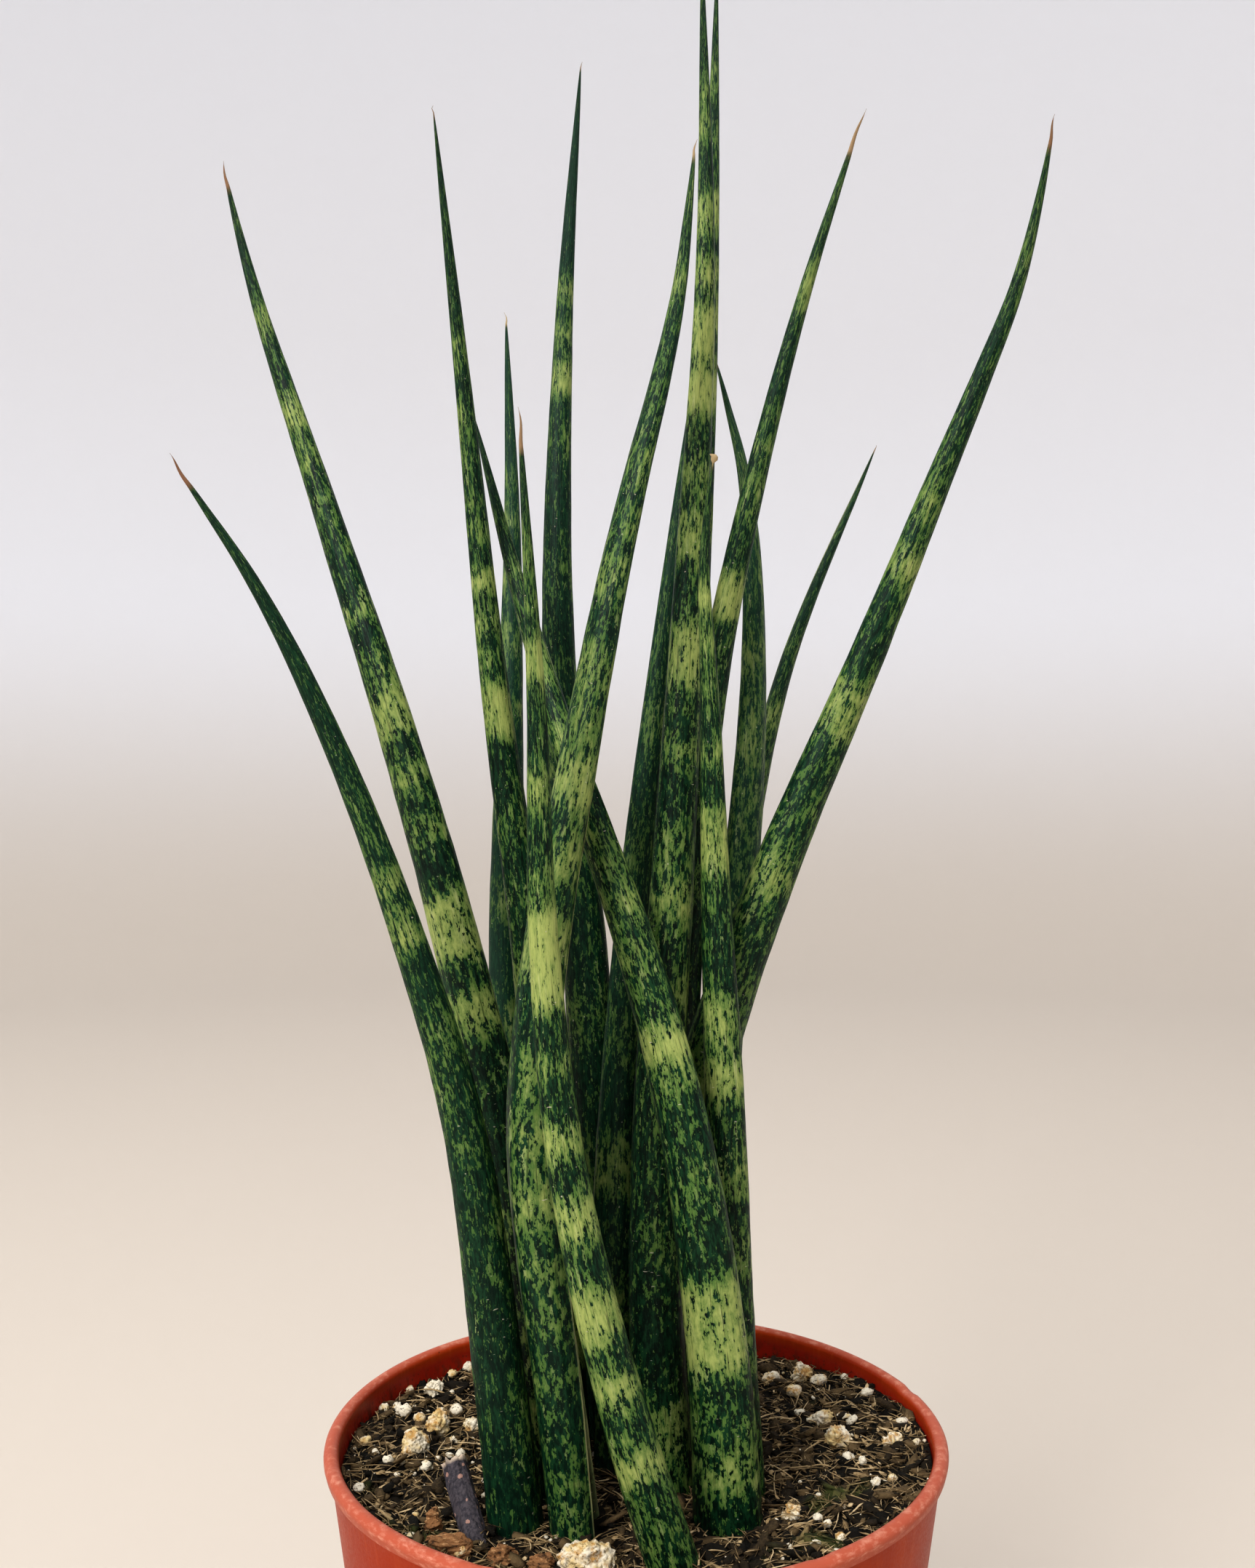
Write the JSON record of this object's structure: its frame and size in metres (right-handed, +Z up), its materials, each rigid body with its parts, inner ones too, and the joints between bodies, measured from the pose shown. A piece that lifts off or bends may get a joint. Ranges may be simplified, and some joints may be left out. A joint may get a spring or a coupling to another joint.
{
  "type": "potted snake plant",
  "caption": "Young cylindrical snake plant with slim channelled mottled leaves in a thin terracotta-coloured nursery pot of gritty potting mix.",
  "frame": {"origin": "centre of the pot's underside, on the surface it stands on", "axes": "+Z up, +X to the right and +Y away from a viewer who faces the side with the longest low leaf in front"},
  "size_m": [0.1395, 0.105, 0.353],
  "materials": {
    "pot_plastic": "thin moulded nursery-pot plastic with a soft sheen, scuffed on the lip",
    "potting_mix": "damp dark peat with tan fibres and white grit",
    "rootstock": "pale fleshy rootstock",
    "leaf": "waxy green skin with pale mottled bands and fine grooves along the leaf",
    "pumice": "rough porous cream mineral",
    "bark": "rough composted bark",
    "stem_stub": "weathered dark skin with a pale cut end"
  },
  "bodies": {
    "root": {"pot": "pot_plastic", "potting_mix": "potting_mix", "rootstock": "rootstock", "leaf_01": "leaf", "leaf_02": "leaf", "leaf_03": "leaf", "leaf_04": "leaf", "leaf_05": "leaf", "leaf_06": "leaf", "leaf_07": "leaf", "leaf_08": "leaf", "leaf_09": "leaf", "leaf_10": "leaf", "leaf_11": "leaf", "leaf_12": "leaf", "leaf_13": "leaf", "leaf_14": "leaf", "leaf_15": "leaf", "leaf_16": "leaf", "pumice_01": "pumice", "pumice_02": "pumice", "pumice_03": "pumice", "pumice_04": "pumice", "pumice_05": "pumice", "pumice_06": "pumice", "pumice_07": "pumice", "pumice_08": "pumice", "pumice_09": "pumice", "pumice_10": "pumice", "pumice_11": "pumice", "pumice_12": "pumice", "bark_01": "bark", "bark_02": "bark", "bark_03": "bark", "bark_04": "bark", "stem_stub": "stem_stub"}
  },
  "joints": []
}
